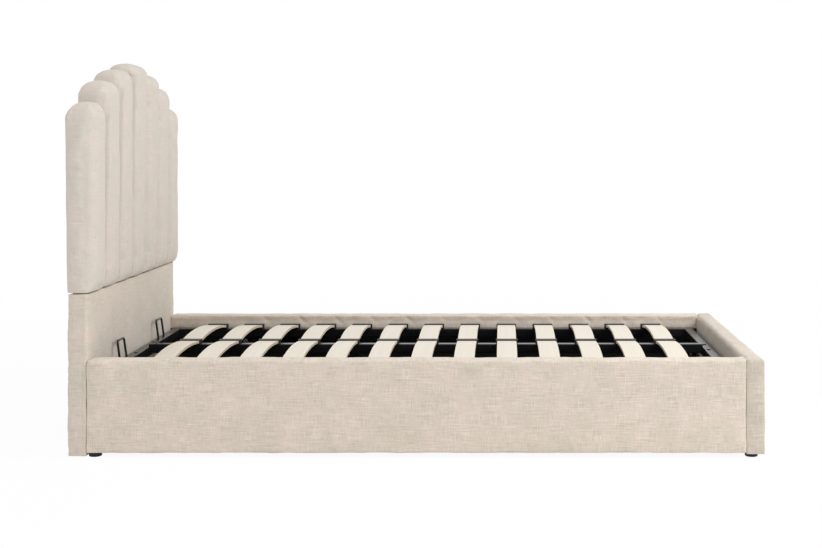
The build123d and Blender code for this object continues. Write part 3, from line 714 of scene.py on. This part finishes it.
def slat_material():
    """Pale laminated wood under a smooth film, with its plies on the edges."""
    surface = Surface("slat_wood", {"Roughness": 0.42})
    x, y, z = surface.parts(surface.coordinates.outputs["Object"])
    facing = surface.parts(surface.coordinates.outputs["Normal"])
    low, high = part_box("left_slats")
    half_run = (high.x - low.x) / 2
    from_middle = surface.math("SUBTRACT", surface.math("ABSOLUTE", x), -(low.x + high.x) / 2)
    bow = surface.product(surface.math("POWER", from_middle, 2.0), slat_bow / half_run**2)
    fall = surface.product(from_middle, slat_end_rise / 2 / half_run)
    layer = surface.total(z, surface.total(bow, fall))
    grain = streaks(surface, y, x, 0.0035, 0.35, 4.0)
    figure = streaks(surface, y, x, 0.016, 0.5, 2.0)
    wood, grain_line, figure_line = (0.755, 0.69, 0.575), (0.775, 0.71, 0.60), (0.80, 0.735, 0.625)
    face = surface.blend(surface.spread(grain, 0.35, 0.68), wood, grain_line)
    face = surface.blend(surface.spread(figure, 0.45, 0.75), face, figure_line)
    plies = streaks(surface, layer, x, 0.0011, 0.3, 1.0)
    edge = surface.blend(surface.spread(plies, 0.4, 0.6), (0.62, 0.47, 0.30), (0.86, 0.77, 0.62))
    on_edge = surface.math("GREATER_THAN", surface.math("ABSOLUTE", facing[1]), 0.6)
    surface.colour(surface.blend(on_edge, face, edge))
    surface.bump(grain, 0.12, 0.0002)
    return surface.material


def board_material(name, dark, light, flake):
    """Pressed board: small flakes in two tones."""
    surface = Surface(name, {"Roughness": 0.75, "Specular IOR Level": 0.2})
    place = surface.coordinates.outputs["Object"]
    cells = surface.node("ShaderNodeTexVoronoi", {"Vector": place, "Scale": 1 / flake})
    grain = surface.noise(place, 60.0, 3.0)
    mixed = surface.product(surface.total(cells.outputs["Distance"], grain), 0.5)
    surface.colour(surface.blend(surface.spread(mixed, 0.2, 0.7), dark, light))
    surface.bump(mixed, 0.2, 0.0004)
    return surface.material


materials = {
    "linen": linen_material("linen", 1.35, (0.585, 0.495, 0.408), (0.865, 0.783, 0.694)),
    # A darker copy of the rails' linen for the footboard: painted shade, as the ends get less light
    "shaded_end_linen": linen_material("shaded_end_linen", 1.35, (0.505, 0.432, 0.352), (0.765, 0.695, 0.608)),
    # Linen of the channels, with painted shade along their grooves
    "quiet_linen": linen_material(
        "quiet_linen", 0.6, (0.55, 0.485, 0.42), (0.80, 0.735, 0.675), grooves=True
    ),
    # A darker, less contrasty copy of the linen for the lower headboard: painted shade for its
    # darker end
    "shaded_head_linen": linen_material("shaded_head_linen", 1.05, (0.548, 0.474, 0.392), (0.805, 0.733, 0.648)),
    "thread": plastic_material("thread", (0.50, 0.43, 0.36), 0.8),
    "frame_board": board_material("frame_board", (0.42, 0.31, 0.19), (0.62, 0.49, 0.34), 0.004),
    "dark_board": board_material("dark_board", (0.010, 0.010, 0.010), (0.022, 0.022, 0.022), 0.003),
    "black_steel": coated_metal("black_steel", (0.012, 0.012, 0.013), (0.14, 0.24)),
    "zinc_steel": coated_metal("zinc_steel", (0.26, 0.26, 0.26), (0.3, 0.45), 1.0),
    "polished_rod": coated_metal("polished_rod", (0.70, 0.70, 0.71), (0.08, 0.16), 1.0),
    "slat_wood": slat_material(),
    "black_plastic": plastic_material("black_plastic", (0.014, 0.014, 0.014), 0.5),
    "black_rubber": plastic_material("black_rubber", (0.012, 0.012, 0.012), 0.8),
}
for row in frame["record"]["subparts"]:
    node = nodes[row["node"]]
    node.data.materials.clear()
    node.data.materials.append(materials[row["material_slot"]])

# Padded pieces, each standing for its solid
channels = {channel_pad(index): f"headboard_channel_{index + 1}" for index in range(channel_count)}
rail_edges = [
    (nose_round, {"y": 1, "z": 1}), (hem_round, {"x": -1, "z": -1}), (hem_round, {"x": 1, "z": -1}),
]
left_edges = [(top_round, {"x": -1, "z": 1}), (inner_rail_round, {"x": 1, "z": 1}), *rail_edges]
right_edges = [(top_round, {"x": 1, "z": 1}), (inner_rail_round, {"x": -1, "z": 1}), *rail_edges]
panels = {
    cover_box("lower_headboard_pad", "headboard_lower_cover", [
        (end_round, {"x": -1, "y": 1}), (end_round, {"x": 1, "y": 1}),
        (end_round / 2, {"x": -1, "y": -1}), (end_round / 2, {"x": 1, "y": -1}),
    ]): "headboard_lower_cover",
    cover_box("left_rail_pad", "left_rail_cover", left_edges): "left_rail_cover",
    cover_box("right_rail_pad", "right_rail_cover", right_edges): "right_rail_cover",
    cover_box("footboard_pad", "footboard_cover", [
        (inner_top_round, {"y": 1, "z": 1}), (top_round, {"y": -1, "z": 1}),
        (end_round / 2, {"x": -1, "z": 1}), (end_round / 2, {"x": 1, "z": 1}),
        (end_round / 3, {"x": -1, "y": -1}), (end_round / 3, {"x": 1, "y": -1}),
    ]): "footboard_cover",
}
finishes = {
    "left_rail_cover": "linen", "right_rail_cover": "linen",
    "footboard_cover": "shaded_end_linen", "headboard_lower_cover": "shaded_head_linen",
}
inner_faces = {
    "left_rail_cover": (0, 1, rail_high.x, -lining_depth),
    "right_rail_cover": (0, -1, -rail_high.x, -lining_depth),
    "footboard_cover": (1, 1, foot_high.y, lining_cover),
    "headboard_lower_cover": (1, -1, face_y, lining_cover),
}
caps = {}
for piece in channels:
    points = read_points(piece.data)
    held = (points[:, 1] > back_y) | (points[:, 2] < pad_bottom + held_margin)
    start_cloth(piece, held)
    caps[piece] = channel_swell
for piece, node in panels.items():
    low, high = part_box(node)
    points = read_points(piece.data)
    near_side, near_end = (
        np.minimum(points[:, axis] - low[axis], high[axis] - points[:, axis]) < held_margin
        for axis in (0, 1)
    )
    held = (points[:, 2] < low.z + held_margin) | (near_side & near_end)
    if "rail" in node:
        held |= near_end
    start_cloth(piece, held)
    caps[piece] = panel_swell
run_cloth(caps)
for number, (piece, node) in enumerate((channels | panels).items()):
    subdivide(piece)
    ruffle(piece, 10 * number, ruffle_height, ruffle_length)
    if "rail" in node:
        press_tucks(piece, -1 if "left" in node else 1)
    if node in inner_faces:
        settle_inner_face(piece, *inner_faces[node])
    piece.data.materials.clear()
    piece.data.materials.append(materials[finishes.get(node, "quiet_linen")])
    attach(piece, "root")
    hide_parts(node)

# Stitches beside the seams
named = {piece.name: piece for piece in panels}
lower_pad, foot_pad = named["lower_headboard_pad"], named["footboard_pad"]
corner_y, foot_y = face_y + stitch_from_corner, foot_high.y - stitch_edge_gap
seam_z = pad_bottom - stitch_under_seam
side_rows = {
    "end": (lower_pad, (corner_y, stitch_hem), (corner_y, pad_bottom - stitch_row_gap)),
    "seam": (lower_pad, (corner_y, seam_z), (back_y - stitch_edge_gap, seam_z)),
    "foot": (foot_pad, (foot_y, stitch_hem), (foot_y, rail_high.z - stitch_rail_gap)),
}
for side, word in ((-1, "left"), (1, "right")):
    for row, (pad, start, end) in side_rows.items():
        x = side * bed_half
        stitch_row(f"{word}_{row}_stitches", pad, (x, *start), (x, *end), (side, 0, 0))
front_half = bed_half - stitch_front_gap
stitch_row(
    "front_seam_stitches", lower_pad,
    (-front_half, face_y, seam_z), (front_half, face_y, seam_z), (0, -1, 0),
)


def white_for_viewer(tree, dim_shader, amount):
    """Mix white into what the camera, reflections and glass see, over what lights the object.

    The amount is a number, or a socket that gives one."""
    path = tree.nodes.new("ShaderNodeLightPath")
    seen = path.outputs["Is Camera Ray"]
    for name in ("Is Glossy Ray", "Is Transmission Ray"):
        either = tree.nodes.new("ShaderNodeMath")
        either.operation = "MAXIMUM"
        tree.links.new(seen, either.inputs[0])
        tree.links.new(path.outputs[name], either.inputs[1])
        seen = either.outputs[0]
    factor = tree.nodes.new("ShaderNodeMath")
    factor.operation = "MULTIPLY"
    if isinstance(amount, bpy.types.NodeSocket):
        tree.links.new(amount, factor.inputs[1])
    else:
        factor.inputs[1].default_value = amount
    tree.links.new(seen, factor.inputs[0])
    of_world = dim_shader.type == "BACKGROUND"
    white = tree.nodes.new("ShaderNodeBackground" if of_world else "ShaderNodeEmission")
    white.inputs["Color"].default_value = (1, 1, 1, 1)
    white.inputs["Strength"].default_value = 1
    mix = tree.nodes.new("ShaderNodeMixShader")
    tree.links.new(factor.outputs[0], mix.inputs[0])
    tree.links.new(dim_shader.outputs[0], mix.inputs[1])
    tree.links.new(white.outputs[0], mix.inputs[2])
    output = next(node for node in tree.nodes if node.type in ("OUTPUT_MATERIAL", "OUTPUT_WORLD"))
    tree.links.new(mix.outputs[0], output.inputs["Surface"])


# Floor, light and background
corners = ((-1, -1), (1, -1), (1, 1), (-1, 1))
floor_points = [(x * floor_half, y * floor_half, 0) for x, y in corners]
floor = new_object("floor", mesh_of("floor", floor_points, [(0, 1, 2, 3)]))
floor_values = {"Base Color": opaque([floor_tone] * 3), "Roughness": 0.9}
floor_surface = Surface("pale_floor", floor_values)
floor_place = floor_surface.coordinates.outputs["Object"]
away = floor_surface.node("ShaderNodeVectorMath", {0: floor_place}, operation="LENGTH")
whiter = floor_surface.node("ShaderNodeMapRange", {
    "Value": away.outputs["Value"],
    "From Min": floor_pale_within, "From Max": floor_white_from,
    "To Min": floor_least_white, "To Max": 1.0,
})
white_for_viewer(floor_surface.tree, floor_surface.shader, whiter.outputs[0])
floor.data.materials.append(floor_surface.material)

world = bpy.data.worlds.new("studio")
world.use_nodes = True
scene.world = world
sky = world.node_tree.nodes["Background"]
sky.inputs["Color"].default_value = (1, 1, 1, 1)
sky.inputs["Strength"].default_value = sky_strength
white_for_viewer(world.node_tree, sky, 1.0)


def area_light(name, place, aim, size, power):
    """A large soft lamp that faces a point."""
    lamp = bpy.data.lights.new(name, "AREA")
    lamp.size = size
    lamp.energy = power
    made = bpy.data.objects.new(name, lamp)
    made.location = place
    made.rotation_euler = (Vector(aim) - Vector(place)).to_track_quat("-Z", "Y").to_euler()
    scene.collection.objects.link(made)


area_light("key", (-2.4, 2.2, 2.3), (0, 0, 0.3), 2.2, 20)
area_light("foot", (-1.0, -2.8, 2.9), (0, 0.2, 0.4), 2.8, 110)

camera = bpy.data.cameras.new("camera")
camera.sensor_width = sensor_width
camera.lens = focal_pixels / image_width * sensor_width
camera.shift_x = (image_width / 2 - vanishing_x) / image_width
camera.shift_y = (vanishing_y - image_height / 2) / image_width
camera_object = bpy.data.objects.new("camera", camera)
camera_object.location = (-bed_half - camera_distance, camera_y, camera_height)
camera_object.rotation_euler = (math.radians(90), 0, math.radians(-90))
scene.collection.objects.link(camera_object)
scene.camera = camera_object
scene.view_settings.view_transform = "Standard"
